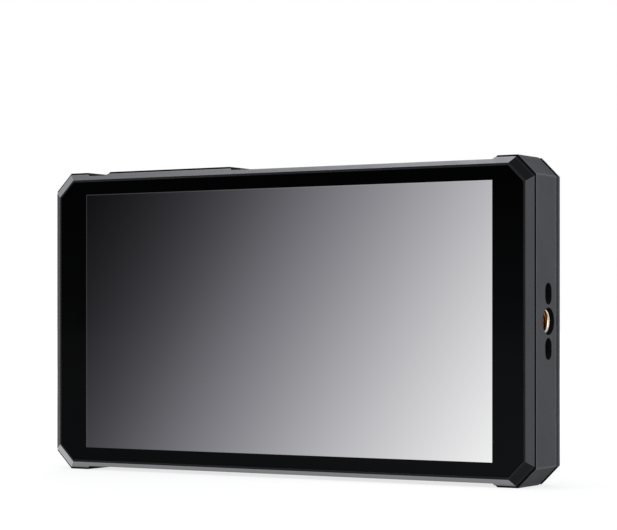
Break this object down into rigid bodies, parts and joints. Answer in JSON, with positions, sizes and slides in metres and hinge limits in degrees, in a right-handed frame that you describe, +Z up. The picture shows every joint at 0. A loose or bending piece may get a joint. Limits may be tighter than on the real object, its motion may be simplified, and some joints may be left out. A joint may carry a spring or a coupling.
{
  "type": "camera field monitor",
  "caption": "Thin on-camera touch monitor in a chamfered casing, with tripod threads, keys on a raised strip, side sockets and a battery plate with a sprung latch.",
  "frame": {"origin": "the mouth of the tripod thread in the lower edge, on the thread's axis", "axes": "+X to the viewer's right along the screen, +Y from the glass towards the back, +Z up the screen"},
  "size_m": [0.1564, 0.0245, 0.0878],
  "materials": {
    "frame_plastic": "satin",
    "casing_plastic": "fine matte texture",
    "cover_glass": "polished, black behind the border",
    "adhesive_tape": "matte",
    "sensor_film": "clear film",
    "display_glass": "polished",
    "backlight_sheet": "white",
    "led": "clear",
    "tray_metal": "pressed sheet",
    "chassis_metal": "pressed sheet",
    "flex_film": "satin",
    "connector_plastic": "satin",
    "circuit_board": "solder mask",
    "chip": "matte",
    "thermal_pad": "soft",
    "heat_sink_metal": "extruded",
    "screw_steel": "turned",
    "socket_steel": "plated sheet",
    "socket_plastic": "matte",
    "contact_metal": "plated",
    "contact_gold": "gold plated",
    "insert_brass": "turned",
    "black_screw": "black oxide",
    "switch_metal": "pressed sheet",
    "key_plastic": "satin",
    "clear_plastic": "clear",
    "cable_film": "satin",
    "plate_plastic": "moulded texture",
    "red_wire": "insulation",
    "black_wire": "insulation",
    "spring_steel": "drawn wire"
  },
  "bodies": {
    "casing": {"front_frame": "frame_plastic", "cover_glass": "cover_glass", "glass_adhesive": "adhesive_tape", "touch_sensor": "sensor_film", "lcd_cell": "display_glass", "backlight": "backlight_sheet", "backlight_leds": "led", "panel_tray": "tray_metal", "chassis_plate": "chassis_metal", "display_flex": "flex_film", "touch_flex": "flex_film", "flex_connectors": "connector_plastic", "main_board": "circuit_board", "video_processor": "chip", "thermal_pad": "thermal_pad", "heat_sink": "heat_sink_metal", "board_components": "chip", "board_screws": "screw_steel", "chassis_screws": "screw_steel", "video_in_shell": "socket_steel", "video_in_tongue": "socket_plastic", "video_out_shell": "socket_steel", "video_out_tongue": "socket_plastic", "data_port_shell": "socket_steel", "data_port_tongue": "socket_plastic", "headphone_jack": "socket_plastic", "dc_in_jack": "socket_plastic", "dc_in_pin": "contact_metal", "dc_out_jack": "socket_plastic", "dc_out_pin": "contact_metal", "card_socket_cover": "socket_steel", "card_socket_base": "socket_plastic", "middle_frame": "casing_plastic", "rear_cover": "casing_plastic", "side_thread_insert": "insert_brass", "bottom_thread_insert": "insert_brass", "cover_screws": "black_screw", "key_board": "circuit_board", "key_board_screws": "screw_steel", "power_switch": "switch_metal", "f1_switch": "switch_metal", "f2_switch": "switch_metal", "status_light_pipe": "clear_plastic", "status_led": "led", "key_cable": "cable_film", "battery_plate": "plate_plastic", "battery_terminal": "plate_plastic", "battery_contacts": "contact_gold", "battery_lead_positive": "red_wire", "battery_lead_negative": "black_wire", "latch_spring": "spring_steel", "battery_plate_screws": "black_screw"},
    "power_button": {"power_key": "key_plastic", "power_plunger": "key_plastic"},
    "f1_button": {"f1_key": "key_plastic", "f1_plunger": "key_plastic"},
    "f2_button": {"f2_key": "key_plastic", "f2_plunger": "key_plastic"},
    "latch": {"battery_latch": "plate_plastic"}
  },
  "joints": [
    {"name": "power_press", "type": "slide", "parent": "casing", "child": "power_button", "axis": [0, 0, -1], "range_m": [0, 0.0003], "stiffness_N_per_m": 4000, "springref_m": -0.0002},
    {"name": "f1_press", "type": "slide", "parent": "casing", "child": "f1_button", "axis": [0, 0, -1], "range_m": [0, 0.0003], "stiffness_N_per_m": 4000, "springref_m": -0.0002},
    {"name": "f2_press", "type": "slide", "parent": "casing", "child": "f2_button", "axis": [0, 0, -1], "range_m": [0, 0.0003], "stiffness_N_per_m": 4000, "springref_m": -0.0002},
    {"name": "latch_press", "type": "slide", "parent": "casing", "child": "latch", "axis": [0, -1, 0], "range_m": [0, 0.0021], "stiffness_N_per_m": 800, "springref_m": -0.003, "deforming": ["latch_spring"]}
  ]
}
